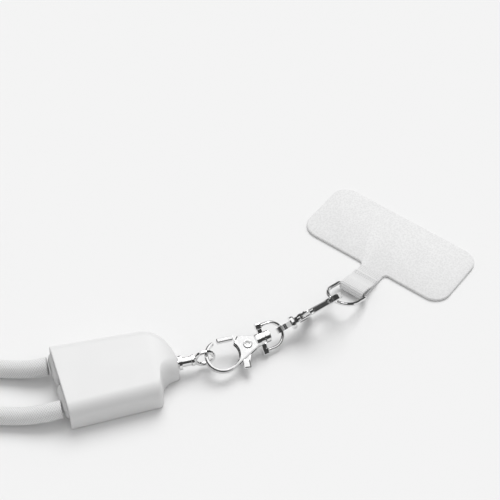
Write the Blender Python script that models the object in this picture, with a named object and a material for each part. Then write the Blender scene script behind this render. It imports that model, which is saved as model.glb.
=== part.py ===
"""Charging cable lanyard: a woven charging cable whose two ends sit in a small moulded housing, a swivel
stud on the housing's nose, two claw clasps in a row, a D ring, and the cloth tab that tethers a phone.

Metres, +Z up. Everything lies on the plane z = 0. The origin is the middle of the housing's underside.
X runs to the right and Y away from whoever looks at the lanyard from its near side.
"""

import math

import bmesh
import bpy
from mathutils import Matrix, Vector

MM = 0.001

# Running gap left between pieces that touch in real life.
GAP = 0.3 * MM
# How far shapes reach into each other where they are joined into one solid.
JOIN = 0.4 * MM

# Housing: a flat moulded shell, open at the mouth where the cable ends go in.
HOUSING_YAW = math.radians(14.1)
HOUSING_LENGTH = 39.6 * MM
HOUSING_WIDTH = 30.1 * MM
HOUSING_THICKNESS = 10.0 * MM
HOUSING_WALL = 1.8 * MM
FAR_CORNER_LENGTH = 10.5 * MM
FAR_CORNER_WIDTH = 14.0 * MM
TOP_EDGE_RADIUS = 4.6 * MM
FOOT_EDGE_RADIUS = 0.8 * MM
NOSE_DROP = 4.0 * MM
NOSE_DROP_LENGTH = 9.5 * MM
TIP_FLAT = 0.15 * MM
MOUTH_SKEW = math.radians(4.0)
MOUTH_DEPTH = 18.0 * MM

# The near side in plan, from the tip past the notch to the mouth.
NEAR_SIDE_COLUMNS = ("share_of_length", "share_of_half_width")
NEAR_SIDE = (
    (0.004, 0.225),
    (0.016, 0.275),
    (0.045, 0.298),
    (0.086, 0.325),
    (0.115, 0.362),
    (0.138, 0.410),
    (0.155, 0.465),
    (0.167, 0.535),
    (0.176, 0.630),
    (0.184, 0.740),
    (0.192, 0.830),
    (0.204, 0.880),
    (0.222, 0.905),
    (0.300, 0.915),
    (0.500, 0.940),
    (0.750, 0.970),
    (1.000, 1.000),
)

# Moulded heads on the two cable ends, side by side in the mouth.
HEAD_STANDS_OUT = 1.4 * MM
HEAD_LENGTH = 15.0 * MM
HEAD_EDGE = 2.3 * MM
HEAD_SPLIT = 0.6 * MM

# Cable: one loop from one head to the other.
CORD_DIAMETER = 6.0 * MM
CORD_STEPS = 72

# Stud on the nose, with a flange and an eye.
SHANK_DIAMETER = 2.2 * MM
SHANK_LENGTH = 5.0 * MM
FLANGE_DIAMETER = 5.0 * MM
FLANGE_THICKNESS = 1.0 * MM
BARREL_DIAMETER = 3.2 * MM
BARREL_LENGTH = 4.6 * MM
STUD_EYE_DIAMETER = 7.7 * MM
STUD_EYE_WIRE = 1.4 * MM
STUD_SIDE = -0.65 * MM

# Claw clasp, the same for both.
RING_HOLE_RADIUS = 4.7 * MM
RING_BAND = 1.25 * MM
RING_STRETCH = 1.3 * MM
CLASP_THICKNESS = 2.2 * MM
CLASP_EDGE = 0.35 * MM
SHOULDER_REACH = 7.9 * MM
SHOULDER_HALF_WIDTH = 4.3 * MM
NECK_WIDTH = 4.2 * MM
PIVOT_REACH = 9.6 * MM
BODY_REACH = 13.2 * MM
COLLAR_DIAMETER = 4.6 * MM
COLLAR_THICKNESS = 0.9 * MM
RIVET_DIAMETER = 1.5 * MM
RIVET_HEAD_DIAMETER = 2.9 * MM
RIVET_HEAD_HEIGHT = 0.3 * MM
RIVET_DIMPLE_DIAMETER = 1.4 * MM
RIVET_DIMPLE_DEPTH = 0.5 * MM

# Lever: gate bar, hub on the rivet, thumb tab.
WEB_THICKNESS = 0.7 * MM
WEB_CLEARANCE = 0.25 * MM
HUB_RADIUS = 2.0 * MM
GATE_THICKNESS = 2.0 * MM
GATE_BAND = 1.4 * MM
GATE_START = 0.75 * MM
TAB_WIDTH = 2.6 * MM
TAB_LENGTH = 3.2 * MM
TAB_THICKNESS = 1.8 * MM

# Swivel loop on the first clasp: a bar with square ends, and a round bow.
POST_DIAMETER = 2.0 * MM
POST_HEAD_DIAMETER = 4.2 * MM
POST_HEAD_LENGTH = 1.9 * MM
LOOP_WIDTH = 8.8 * MM
LOOP_DEPTH = 7.75 * MM
LOOP_WIRE = 1.2 * MM
LOOP_BAR_THICKNESS = 1.5 * MM
LOOP_BOSS_DIAMETER = 4.2 * MM
LOOP_BLOCK = 2.0 * MM

# Eye on the second clasp, which holds the loop's bow.
LINK_EYE_DIAMETER = 4.0 * MM
LINK_EYE_HOLE = 2.2 * MM
LINK_EYE_THICKNESS = 1.9 * MM
LINK_NECK = 2.1 * MM

# D ring and the cloth tab.
RING_WIRE = 1.3 * MM
RING_SIDE_GAP = 0.3 * MM
RING_DEPTH = 12.8 * MM
RING_BOW = 6.4 * MM
RING_FOOT_CORNER = 1.5 * MM
SHEET_THICKNESS = 1.0 * MM
TONGUE_WIDTH = 9.2 * MM
TONGUE_LENGTH = 13.0 * MM
TONGUE_RETURN = 8.4 * MM
FOLD_LENGTH = 5.5 * MM
TONGUE_FILLET = 1.5 * MM
PATCH_LENGTH = 59.5 * MM
PATCH_WIDTH = 26.5 * MM
PATCH_CORNER = 6.0 * MM
PATCH_SIDE = 2.2 * MM

# How the chain lies: headings in plan from +X, rolls about each piece's own length, and heights.
STUD_TO_CLASP_HEADING = math.radians(5.5)
FIRST_CLASP_HEADING = math.radians(29.7)
FIRST_CLASP_RISE = math.radians(-0.5)
FIRST_CLASP_ROLL = math.radians(15.0)
FIRST_CLASP_HEIGHT = 5.1 * MM
LOOP_TURN = math.radians(-3.7)
LOOP_DROP = math.radians(-1.0)
LOOP_ROLL = math.radians(44.0)
LOOP_HOLD_ANGLE = math.radians(10.5)
SECOND_CLASP_HEADING = math.radians(30.0)
SECOND_CLASP_RISE = math.radians(9.0)
SECOND_CLASP_ROLL = math.radians(58.0)
RING_HOLD_REACH = 3.35 * MM
RING_HOLD_ANGLE = math.radians(209.0)
RING_HOLD_TURN = math.radians(8.0)
PATCH_HEADING = math.radians(-37.0)

# Facets.
ROUND_SIDES = 24
WIRE_SIDES = 12
BOW_STEPS = 16

# The cable's route in millimetres, chosen by hand: from the far head, along the surface, round a wide turn
# beside itself, back to the end of the loop, and the same way home to the near head.
CORD_ROUTE = (
    (-24.4, 2.9, 4.95),
    (-26.6, 2.6, 4.7),
    (-29.4, 2.45, 4.1),
    (-33.5, 2.8, 3.4),
    (-40.0, 3.3, 3.0),
    (-45.0, 3.6, 3.0),
    (-62.0, 4.0, 3.0),
    (-90.0, 3.7, 3.0),
    (-148.0, 2.9, 3.0),
    (-166.0, 4.3, 3.0),
    (-181.0, 13.5, 3.0),
    (-187.0, 29.5, 3.0),
    (-181.0, 45.5, 3.0),
    (-165.0, 55.1, 3.0),
    (-145.0, 56.5, 3.0),
    (-120.0, 55.1, 3.0),
    (-97.0, 50.9, 3.0),
    (-80.0, 48.7, 3.0),
    (-66.0, 50.9, 3.0),
    (-57.6, 58.5, 3.0),
    (-56.0, 67.5, 3.0),
    (-60.4, 76.9, 3.0),
    (-71.0, 82.5, 3.0),
    (-88.0, 82.1, 3.0),
    (-112.0, 77.5, 3.0),
    (-138.0, 74.9, 3.0),
    (-160.0, 74.1, 3.0),
    (-181.0, 68.5, 3.0),
    (-198.5, 52.0, 3.0),
    (-205.0, 29.5, 3.0),
    (-198.5, 7.0, 3.0),
    (-181.0, -9.5, 3.0),
    (-160.0, -14.9, 3.0),
    (-130.0, -15.1, 3.0),
    (-55.0, -15.2, 3.0),
    (-36.0, -15.6, 3.0),
    (-29.6, -15.8, 3.4),
    (-24.6, -15.6, 4.3),
    (-21.2, -15.1, 4.8),
    (-18.3, -14.4, 5.0),
)


def clear_scene():
    for obj in list(bpy.data.objects):
        bpy.data.objects.remove(obj, do_unlink=True)


def material(name, colour, roughness, metallic):
    made = bpy.data.materials.new(name)
    made.use_nodes = True
    shader = made.node_tree.nodes["Principled BSDF"]
    shader.inputs["Base Color"].default_value = (*colour, 1.0)
    shader.inputs["Roughness"].default_value = roughness
    shader.inputs["Metallic"].default_value = metallic
    return made


def object_from(name, mesh_data):
    """An object that holds what the bmesh holds, with its faces pointing out."""
    bmesh.ops.recalc_face_normals(mesh_data, faces=mesh_data.faces)
    mesh = bpy.data.meshes.new(name)
    mesh_data.to_mesh(mesh)
    mesh_data.free()
    obj = bpy.data.objects.new(name, mesh)
    bpy.context.scene.collection.objects.link(obj)
    return obj


def bake(obj):
    """Replaces an object's mesh with what its modifiers make of it."""
    bpy.context.view_layer.update()
    graph = bpy.context.evaluated_depsgraph_get()
    mesh = bpy.data.meshes.new_from_object(obj.evaluated_get(graph))
    obj.modifiers.clear()
    obj.data = mesh
    return obj


def chamfered(obj, width, segments=1, angle=math.radians(35.0)):
    modifier = obj.modifiers.new("Edges", "BEVEL")
    modifier.width = width
    modifier.segments = segments
    modifier.limit_method = "ANGLE"
    modifier.angle_limit = angle
    modifier.use_clamp_overlap = True
    return bake(obj)


def combined(target, others, operation):
    """Joins the target with each of the others or cuts it by them, and uses them up."""
    for other in others:
        modifier = target.modifiers.new(operation.title(), "BOOLEAN")
        modifier.operation = operation
        modifier.solver = "EXACT"
        modifier.object = other
        bake(target)
        bpy.data.objects.remove(other, do_unlink=True)
    return target


def joined(target, *others):
    return combined(target, others, "UNION")


def cut(target, *others):
    return combined(target, others, "DIFFERENCE")


def arc(centre, radius, start, end, steps):
    """Points on an arc, both ends included, with angles in radians."""
    angles = (start + (end - start) * i / steps for i in range(steps + 1))
    return [(centre[0] + radius * math.cos(a), centre[1] + radius * math.sin(a)) for a in angles]


def prism(name, outline, low, high, axis="Z"):
    """A closed outline given in the plane across the axis, drawn out along it from low to high."""
    place = {
        "X": lambda a, b, h: (h, a, b),
        "Y": lambda a, b, h: (a, h, b),
        "Z": lambda a, b, h: (a, b, h),
    }[axis]
    data = bmesh.new()
    face = data.faces.new([data.verts.new(place(a, b, low)) for a, b in outline])
    drawn = bmesh.ops.extrude_face_region(data, geom=[face])
    step = Vector(place(0.0, 0.0, high - low))
    corners = [v for v in drawn["geom"] if isinstance(v, bmesh.types.BMVert)]
    bmesh.ops.translate(data, vec=step, verts=corners)
    return object_from(name, data)


def box(name, low, high):
    outline = [(low[0], low[1]), (high[0], low[1]), (high[0], high[1]), (low[0], high[1])]
    return prism(name, outline, low[2], high[2])


def turned(name, profile, axis="X", sides=ROUND_SIDES):
    """A solid turned about an axis from (place along the axis, radius) pairs, closed at both ends."""
    place = {
        "X": lambda h, r, a: (h, r * math.cos(a), r * math.sin(a)),
        "Z": lambda h, r, a: (r * math.cos(a), r * math.sin(a), h),
    }[axis]
    data = bmesh.new()
    rings = [
        [data.verts.new(place(h, r, math.tau * k / sides)) for k in range(sides)] for h, r in profile
    ]
    for lower, upper in zip(rings, rings[1:]):
        for k in range(sides):
            data.faces.new((lower[k - 1], lower[k], upper[k], upper[k - 1]))
    data.faces.new(rings[0])
    data.faces.new(rings[-1])
    return object_from(name, data)


def rod(name, start, end, radius, axis="X", sides=ROUND_SIDES):
    return turned(name, ((start, radius), (end, radius)), axis, sides)


def wire(name, path, radius, closed=False, sides=WIRE_SIDES):
    """A round wire along a path that lies in the XY plane."""
    data = bmesh.new()
    points = [Vector((*p, 0.0)) for p in path]
    count = len(points)
    up = Vector((0.0, 0.0, 1.0))
    rings = []
    for i, point in enumerate(points):
        before = points[i - 1] if closed or i else point
        after = points[(i + 1) % count] if closed or i + 1 < count else point
        side = (after - before).normalized().cross(up)
        ring = []
        for k in range(sides):
            angle = math.tau * (k + 0.5) / sides
            ring.append(data.verts.new(point + radius * (side * math.cos(angle) + up * math.sin(angle))))
        rings.append(ring)
    pairs = list(zip(rings, rings[1:])) + ([(rings[-1], rings[0])] if closed else [])
    for lower, upper in pairs:
        for k in range(sides):
            data.faces.new((lower[k - 1], lower[k], upper[k], upper[k - 1]))
    if not closed:
        data.faces.new(rings[0])
        data.faces.new(rings[-1])
    return object_from(name, data)


def frame_at(origin, along, across):
    """A placement whose X runs along a piece and whose Y runs across it."""
    x = along.normalized()
    z = x.cross(across).normalized()
    y = z.cross(x)
    turn = Matrix((x, y, z)).transposed().to_4x4()
    return Matrix.Translation(origin) @ turn


def heading(angle, rise=0.0):
    flat = math.cos(rise)
    return Vector((flat * math.cos(angle), flat * math.sin(angle), math.sin(rise)))


def rolled(along, roll):
    """The direction across a piece that lies at right angles to it and climbs by the roll on its left."""
    level = Vector((-along.y, along.x, 0.0)).normalized()
    up = along.cross(level)
    return math.cos(roll) * level + math.sin(roll) * up


def finished(obj, name, finish, placement, smooth_angle=math.radians(38.0)):
    obj.name = name
    obj.data.name = name
    obj.matrix_world = placement
    obj.data.materials.clear()
    obj.data.materials.append(finish)
    obj.data.shade_smooth()
    obj.data.set_sharp_from_angle(angle=smooth_angle)
    return obj


def near_reach(back):
    """How far the near side stands from the middle line, at a distance back from the tip."""
    share = back / HOUSING_LENGTH
    last = NEAR_SIDE[0]
    for row in NEAR_SIDE[1:]:
        if share <= row[0]:
            between = max(0.0, (share - last[0]) / (row[0] - last[0]))
            return HOUSING_WIDTH / 2 * (last[1] + (row[1] - last[1]) * between)
        last = row
    return HOUSING_WIDTH / 2


def far_reach(back):
    """The same for the far side: a wide round corner, then straight to the mouth."""
    if back < FAR_CORNER_LENGTH:
        return FAR_CORNER_WIDTH * math.sqrt(1 - (1 - back / FAR_CORNER_LENGTH) ** 2)
    share = (back - FAR_CORNER_LENGTH) / (HOUSING_LENGTH - FAR_CORNER_LENGTH)
    return FAR_CORNER_WIDTH + (HOUSING_WIDTH / 2 - FAR_CORNER_WIDTH) * share


def housing_height(back):
    share = max(0.0, 1 - back / NOSE_DROP_LENGTH)
    return HOUSING_THICKNESS - NOSE_DROP * (1 - math.sqrt(1 - share**2))


def section(near, far, low, high, top_radius, foot_radius, steps=6):
    """A cross-section with large top corners and small bottom ones, from the far side over the top."""
    top = min(top_radius, 0.46 * (near + far), 0.8 * (high - low))
    points = arc((far - top, high - top), top, 0, math.pi / 2, steps)
    points += arc((top - near, high - top), top, math.pi / 2, math.pi, steps)
    points += arc((foot_radius - near, low + foot_radius), foot_radius, math.pi, math.pi * 1.5, 2)
    points += arc((far - foot_radius, low + foot_radius), foot_radius, math.pi * 1.5, math.tau, 2)
    return points


def skewed(back, side):
    """Where a point of the plan lies along the housing: the mouth is cut a little askew."""
    share = max(0.0, back / HOUSING_LENGTH - 0.3) / 0.7
    return -back - side * math.tan(MOUTH_SKEW) * share


def lofted(name, rings):
    """A closed solid through rings of points that all have the same count."""
    data = bmesh.new()
    loops = [[data.verts.new(p) for p in ring] for ring in rings]
    for lower, upper in zip(loops, loops[1:]):
        for k in range(len(lower)):
            data.faces.new((lower[k - 1], lower[k], upper[k], upper[k - 1]))
    data.faces.new(loops[0])
    data.faces.new(loops[-1])
    return object_from(name, data)


def housing_stations():
    """Distances back from the tip at which the shell's shape is set."""
    corner = [FAR_CORNER_LENGTH * (1 - math.cos(math.pi / 2 * k / 8)) for k in range(1, 9)]
    side = [HOUSING_LENGTH * share for share, _ in NEAR_SIDE]
    stations = [TIP_FLAT]
    for back in sorted(corner + side):
        if back - stations[-1] > 0.25 * MM:
            stations.append(back)
    return stations


def housing_placement():
    tip = heading(HOUSING_YAW) * (HOUSING_LENGTH / 2)
    return frame_at(tip, heading(HOUSING_YAW), rolled(heading(HOUSING_YAW), 0.0))


def build_housing(finish):
    """The shell, lofted from its tip to its mouth, hollow at the mouth and bored for the stud."""
    rings = []
    for back in housing_stations():
        ring = section(
            near_reach(back), far_reach(back), 0.0, housing_height(back), TOP_EDGE_RADIUS, FOOT_EDGE_RADIUS
        )
        rings.append([(skewed(back, y), y, z) for y, z in ring])
    shell = lofted("housing", rings)
    reach = 5 * MM
    half = HOUSING_WIDTH / 2 - HOUSING_WALL
    inner = section(
        half,
        half,
        HOUSING_WALL,
        HOUSING_THICKNESS - HOUSING_WALL,
        TOP_EDGE_RADIUS - HOUSING_WALL,
        FOOT_EDGE_RADIUS,
    )
    cavity = [
        [(x - y * math.tan(MOUTH_SKEW), y, z) for y, z in inner]
        for x in (MOUTH_DEPTH - HOUSING_LENGTH, -HOUSING_LENGTH - reach)
    ]
    cut(shell, lofted("mouth", cavity), stud_bore())
    return finished(shell, "housing", finish, housing_placement(), math.radians(34))


def stud_bore():
    bore = rod("bore", -SHANK_LENGTH - GAP, MM, SHANK_DIAMETER / 2 + GAP)
    bore.location = (0.0, STUD_SIDE, HOUSING_THICKNESS / 2)
    return bore


def build_cable_heads(finish):
    """The two moulded heads side by side in the mouth, standing out of it a little."""
    inner_edge = HEAD_SPLIT / 2
    outer_edge = HOUSING_WIDTH / 2 - HOUSING_WALL - GAP
    low = HOUSING_WALL + GAP
    high = HOUSING_THICKNESS - HOUSING_WALL - GAP
    start = -HOUSING_LENGTH - HEAD_STANDS_OUT
    lean = Matrix(((1, -math.tan(MOUTH_SKEW), 0, 0), (0, 1, 0, 0), (0, 0, 1, 0), (0, 0, 0, 1)))
    heads = []
    for name, side in (("far_cable_head", 1), ("near_cable_head", -1)):
        edges = sorted((side * inner_edge, side * outer_edge))
        head = box(name, (start, edges[0], low), (start + HEAD_LENGTH, edges[1], high))
        chamfered(head, HEAD_EDGE, segments=3)
        head.data.transform(lean)
        heads.append(finished(head, name, finish, housing_placement()))
    return heads


def build_stud(finish):
    """Shank, flange, barrel and eye, turned about the nose's own axis."""
    start = GAP - TIP_FLAT
    flange_end = start + FLANGE_THICKNESS
    barrel_end = flange_end + BARREL_LENGTH
    lip = BARREL_DIAMETER / 2 + 0.35 * MM
    profile = (
        (-SHANK_LENGTH, SHANK_DIAMETER / 2),
        (start, SHANK_DIAMETER / 2),
        (start, FLANGE_DIAMETER / 2),
        (flange_end, FLANGE_DIAMETER / 2),
        (flange_end, BARREL_DIAMETER / 2),
        (barrel_end - 1.5 * MM, BARREL_DIAMETER / 2),
        (barrel_end - 1.2 * MM, lip),
        (barrel_end - JOIN, lip),
        (barrel_end, BARREL_DIAMETER / 2),
    )
    stud = turned("stud", profile)
    radius = (STUD_EYE_DIAMETER - STUD_EYE_WIRE) / 2
    ring = wire("eye", arc((0, 0), radius, 0, math.tau, 28)[:-1], STUD_EYE_WIRE / 2, closed=True)
    ring.matrix_world = frame_at(
        Vector((barrel_end + radius, 0, 0)), Vector((1, 0, 0)), Vector((0, 0, 1))
    )
    joined(stud, ring)
    return finished(stud, "swivel_stud", finish, stud_placement())


def stud_placement():
    return housing_placement() @ Matrix.Translation((0, STUD_SIDE, HOUSING_THICKNESS / 2))


def stud_eye_centre():
    radius = (STUD_EYE_DIAMETER - STUD_EYE_WIRE) / 2
    reach = GAP - TIP_FLAT + FLANGE_THICKNESS + BARREL_LENGTH + radius
    return stud_placement() @ Vector((reach, 0, 0))


def first_clasp():
    """The first clasp's placement: its ring's middle, its length, and its lever side."""
    eye_hole = STUD_EYE_DIAMETER / 2 - STUD_EYE_WIRE
    reach = RING_HOLE_RADIUS + eye_hole - 4 * GAP
    centre = stud_eye_centre() + heading(STUD_TO_CLASP_HEADING) * reach
    centre.z = FIRST_CLASP_HEIGHT
    along = heading(FIRST_CLASP_HEADING, FIRST_CLASP_RISE)
    return frame_at(centre, along, rolled(along, FIRST_CLASP_ROLL))


def collar_end():
    return BODY_REACH + COLLAR_THICKNESS


def loop_bar_reach():
    """From the ring's middle to the middle of the swivel loop's bar."""
    return collar_end() + GAP + LOOP_BAR_THICKNESS / 2


def swivel_loop_placement():
    origin = first_clasp() @ Vector((loop_bar_reach(), 0, 0))
    along = heading(FIRST_CLASP_HEADING + LOOP_TURN, FIRST_CLASP_RISE + LOOP_DROP)
    return frame_at(origin, along, rolled(along, LOOP_ROLL))


def link_eye_reach():
    """From the second clasp's ring to the middle of its eye."""
    return collar_end() + LINK_NECK + LINK_EYE_DIAMETER / 2 - JOIN


def second_clasp():
    """The second clasp's placement. Its length runs from the hook back to the eye on the loop's bow."""
    back = -heading(SECOND_CLASP_HEADING, SECOND_CLASP_RISE)
    play = (LINK_EYE_HOLE - LOOP_WIRE) / 2 - GAP
    half = LOOP_WIDTH / 2
    held = (LOOP_DEPTH - half + half * math.cos(LOOP_HOLD_ANGLE), half * math.sin(LOOP_HOLD_ANGLE), 0)
    eye = swivel_loop_placement() @ Vector(held) - back * play
    centre = eye - back * link_eye_reach()
    return frame_at(centre, back, rolled(back, SECOND_CLASP_ROLL))


def ring_placement():
    """The D ring's placement: origin at the middle of its straight bar, X towards its bow."""
    hold = RING_HOLD_REACH
    held = second_clasp() @ Vector(
        (hold * math.cos(RING_HOLD_ANGLE), hold * math.sin(RING_HOLD_ANGLE), 0)
    )
    reach = RING_DEPTH - RING_BOW + RING_BOW * math.cos(RING_HOLD_TURN)
    side = -ring_half_width() * math.sin(RING_HOLD_TURN)
    forward = heading(PATCH_HEADING - math.pi / 2, math.asin((held.z - fold_height()) / reach))
    across = heading(PATCH_HEADING)
    return frame_at(held - forward * reach - across * side, forward, across)


def fold_height():
    return RING_WIRE / 2 + GAP + SHEET_THICKNESS


def clasp_outline():
    """The claw's outline: hook tip, round the ring, the underside, the neck, and back to the throat."""
    outer = RING_HOLE_RADIUS + RING_BAND
    foot_angle = math.radians(281)
    hook = arc((0, 0), outer, math.radians(97), foot_angle, 22)
    neck = [(BODY_REACH, -NECK_WIDTH / 2), (BODY_REACH, NECK_WIDTH / 2)]
    shoulder = [(SHOULDER_REACH, SHOULDER_HALF_WIDTH)]
    throat_angle = math.radians(30)
    throat = arc((RING_STRETCH, 0), RING_HOLE_RADIUS, throat_angle, -math.pi / 2, 12)
    hole = arc((0, 0), RING_HOLE_RADIUS, math.pi * 1.5, math.radians(97), 18)
    return hook + neck + shoulder + throat + hole


def gate_line():
    """The gate bar's heel and tip on its middle line: from the body's shoulder out to the hook's tip."""
    tip = Vector((GATE_START, RING_HOLE_RADIUS + RING_BAND / 2 + 0.25 * MM))
    heel = Vector((SHOULDER_REACH - 0.9 * MM, SHOULDER_HALF_WIDTH - 0.1 * MM))
    return heel, tip


def strip(start, end, width_start, width_end):
    """A four-sided outline along a line, of one width at its start and another at its end."""
    side = (end - start).normalized()
    side = Vector((-side.y, side.x))
    corners = (
        start - side * width_start / 2,
        end - side * width_end / 2,
        end + side * width_end / 2,
        start + side * width_start / 2,
    )
    return [tuple(c) for c in corners]


def tab_line():
    """The thumb tab's root at the body's underside and its tip."""
    root = Vector((PIVOT_REACH - 2.9 * MM, -SHOULDER_HALF_WIDTH - 0.35 * MM))
    return root, root + Vector((-0.33, -0.944)) * TAB_LENGTH


def build_clasp_body(name, finish, placement, tail):
    """One clasp's body with its rivet, slotted for the lever, and the tail that the maker asks for."""
    half = CLASP_THICKNESS / 2
    body = chamfered(prism(name, clasp_outline(), -half, half), CLASP_EDGE)
    slot = WEB_THICKNESS / 2 + WEB_CLEARANCE
    slot_start = RING_HOLE_RADIUS - 0.6 * MM
    slot_end = PIVOT_REACH + HUB_RADIUS + GAP
    outer = 2 * RING_HOLE_RADIUS
    cut(body, box("slot", (slot_start, -outer, -slot), (slot_end, outer, slot)))
    head_top = half + RIVET_HEAD_HEIGHT
    pin = rod("pin", -head_top, head_top, RIVET_DIAMETER / 2, axis="Z")
    for side in (1, -1):
        base, top = side * (half - JOIN), side * head_top
        head = rod("head", base, top, RIVET_HEAD_DIAMETER / 2, axis="Z")
        joined(pin, head)
    for side in (1, -1):
        floor, above = side * (head_top - RIVET_DIMPLE_DEPTH), side * (head_top + MM)
        cut(pin, rod("dimple", floor, above, RIVET_DIMPLE_DIAMETER / 2, axis="Z", sides=12))
    pin.location.x = PIVOT_REACH
    collar = turned(
        "collar",
        (
            (BODY_REACH - JOIN, COLLAR_DIAMETER / 2 - 0.2 * MM),
            (BODY_REACH, COLLAR_DIAMETER / 2),
            (collar_end(), COLLAR_DIAMETER / 2),
        ),
    )
    joined(body, pin, collar, *tail)
    return finished(body, name, finish, placement)


def swivel_post():
    """The post that the loop's bar turns on, with the head that keeps it there."""
    head_start = loop_bar_reach() + LOOP_BAR_THICKNESS / 2 + GAP
    head_end = head_start + POST_HEAD_LENGTH
    radius = POST_DIAMETER / 2
    rim = POST_HEAD_DIAMETER / 2
    profile = (
        (collar_end() - JOIN, radius),
        (head_start, radius),
        (head_start, rim),
        (head_end - 0.3 * MM, rim),
        (head_end, rim - 0.3 * MM),
    )
    return turned("post", profile)


def link_eye():
    """A flat eye in the clasp's own plane, on a square neck."""
    reach = link_eye_reach()
    half = LINK_EYE_THICKNESS / 2
    eye = rod("eye", -half, half, LINK_EYE_DIAMETER / 2, axis="Z")
    eye.location.x = reach
    neck_end = reach - LINK_EYE_HOLE / 2 - JOIN
    neck = box("neck", (collar_end() - JOIN, -half, -half), (neck_end, half, half))
    eye = joined(neck, eye)
    hole = rod("hole", -half - MM, half + MM, LINK_EYE_HOLE / 2, axis="Z")
    hole.location.x = reach
    return cut(eye, hole)


def build_lever(name, finish, placement):
    """Gate, web and thumb tab in one piece, with its origin on the rivet."""
    heel, tip = gate_line()
    root, end = tab_line()
    pivot = Vector((PIVOT_REACH, 0))
    half_web = WEB_THICKNESS / 2
    root_width = 2 * HUB_RADIUS - 0.6 * MM
    web = rod("web", -half_web, half_web, HUB_RADIUS, axis="Z")
    web.location.x = PIVOT_REACH
    gate_mid = heel.lerp(tip, 0.5)
    to_gate = prism("gate_web", strip(pivot, heel, root_width, GATE_BAND), -half_web, half_web)
    along_gate = prism("gate_spine", strip(heel, gate_mid, GATE_BAND, GATE_BAND), -half_web, half_web)
    to_tab = prism(
        "tab_web",
        strip(pivot, root.lerp(end, 0.3), root_width, TAB_WIDTH - 0.4 * MM),
        -half_web,
        half_web,
    )
    half_gate = GATE_THICKNESS / 2
    bar_width = GATE_BAND + 0.1 * MM
    bar = prism("bar", strip(heel.lerp(tip, 0.12), tip, bar_width, bar_width), -half_gate, half_gate)
    chamfered(bar, 0.25 * MM)
    half_tab = TAB_THICKNESS / 2
    paddle = prism("paddle", strip(root, end, TAB_WIDTH - 0.3 * MM, TAB_WIDTH), -half_tab, half_tab)
    chamfered(paddle, 0.45 * MM, segments=2)
    lever = joined(web, to_gate, along_gate, to_tab, bar, paddle)
    pin_hole = rod("pin_hole", -MM, MM, RIVET_DIAMETER / 2 + GAP, axis="Z")
    pin_hole.location.x = PIVOT_REACH
    cut(lever, pin_hole)
    return finished(lever, name, finish, placement @ Matrix.Translation((PIVOT_REACH, 0, 0)))


def build_swivel_loop(finish):
    """The loop: a bar with a boss for the post and a square block at each end, and a bow of wire."""
    half_width = LOOP_WIDTH / 2
    half_bar = LOOP_BAR_THICKNESS / 2
    half_block = LOOP_BLOCK / 2
    bar = box("bar", (-half_bar, -half_width, -half_bar), (half_bar, half_width, half_bar))
    boss = rod("boss", -half_bar, half_bar, LOOP_BOSS_DIAMETER / 2)
    blocks = [
        chamfered(
            box(
                "block",
                (-half_block, y - half_block, -half_block),
                (half_block, y + half_block, half_block),
            ),
            0.2 * MM,
        )
        for y in (-half_width, half_width)
    ]
    bow_centre = (LOOP_DEPTH - half_width, 0.0)
    bow = [(0.0, half_width)] + arc(bow_centre, half_width, math.pi / 2, -math.pi / 2, BOW_STEPS)
    bow += [(0.0, -half_width)]
    loop = joined(bar, boss, *blocks, wire("bow", bow, LOOP_WIRE / 2))
    cut(loop, rod("post_hole", -half_bar - MM, half_bar + MM, POST_DIAMETER / 2 + GAP))
    return finished(loop, "swivel_loop", finish, swivel_loop_placement())


def ring_half_width():
    return TONGUE_WIDTH / 2 + RING_SIDE_GAP + RING_WIRE / 2


def ring_path():
    """The D ring's middle line: a straight bar, two legs and a round bow."""
    half = ring_half_width()
    foot = RING_FOOT_CORNER
    path = arc((foot, half - foot), foot, math.pi, math.pi / 2, 3)
    bow = arc((0, 0), 1.0, math.pi / 2, 0.0, 8)[:-1]
    path += [(RING_DEPTH - RING_BOW + RING_BOW * along, half * across) for along, across in bow]
    return path + [(RING_DEPTH, 0.0)] + [(a, -b) for a, b in reversed(path)]


def build_ring(finish):
    ring = wire("ring", ring_path(), RING_WIRE / 2, closed=True)
    return finished(ring, "d_ring", finish, ring_placement())


def tongue_outline():
    """Side view of the tongue, from the fold round the ring's bar back to the patch, and its eye."""
    middle = fold_height()
    outer = middle
    ply = SHEET_THICKNESS
    fold = arc((0, middle), outer, math.pi * 1.5, math.pi / 2 - 0.2, 10)
    top = [
        (0.55 * FOLD_LENGTH, 2 * ply + 0.45 * (2 * middle - 2 * ply)),
        (0.85 * FOLD_LENGTH, 2 * ply + 0.1 * (2 * middle - 2 * ply)),
        (FOLD_LENGTH + 0.8 * MM, 2 * ply),
        (TONGUE_RETURN, 1.9 * ply),
        (TONGUE_RETURN + 1.2 * MM, 1.35 * ply),
        (TONGUE_RETURN + 2.4 * MM, 1.05 * ply),
        (TONGUE_LENGTH, ply),
        (TONGUE_LENGTH + 2 * MM, ply),
        (TONGUE_LENGTH + 2 * MM, 0.0),
    ]
    eye_radius = RING_WIRE / 2 + GAP
    eye = arc((0, middle), eye_radius, math.radians(300), math.radians(50), 12)
    eye += [(0.62 * FOLD_LENGTH, ply + 0.12 * MM)]
    return [(x, max(z, 0.0)) for x, z in fold + top], eye


def tab_placement():
    """The tab's placement: origin under the ring's bar, X back towards the patch."""
    ring = ring_placement()
    origin = ring.translation.copy()
    origin.z = 0.0
    back = heading(PATCH_HEADING + math.pi / 2)
    return frame_at(origin, back, rolled(back, 0.0))


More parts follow.
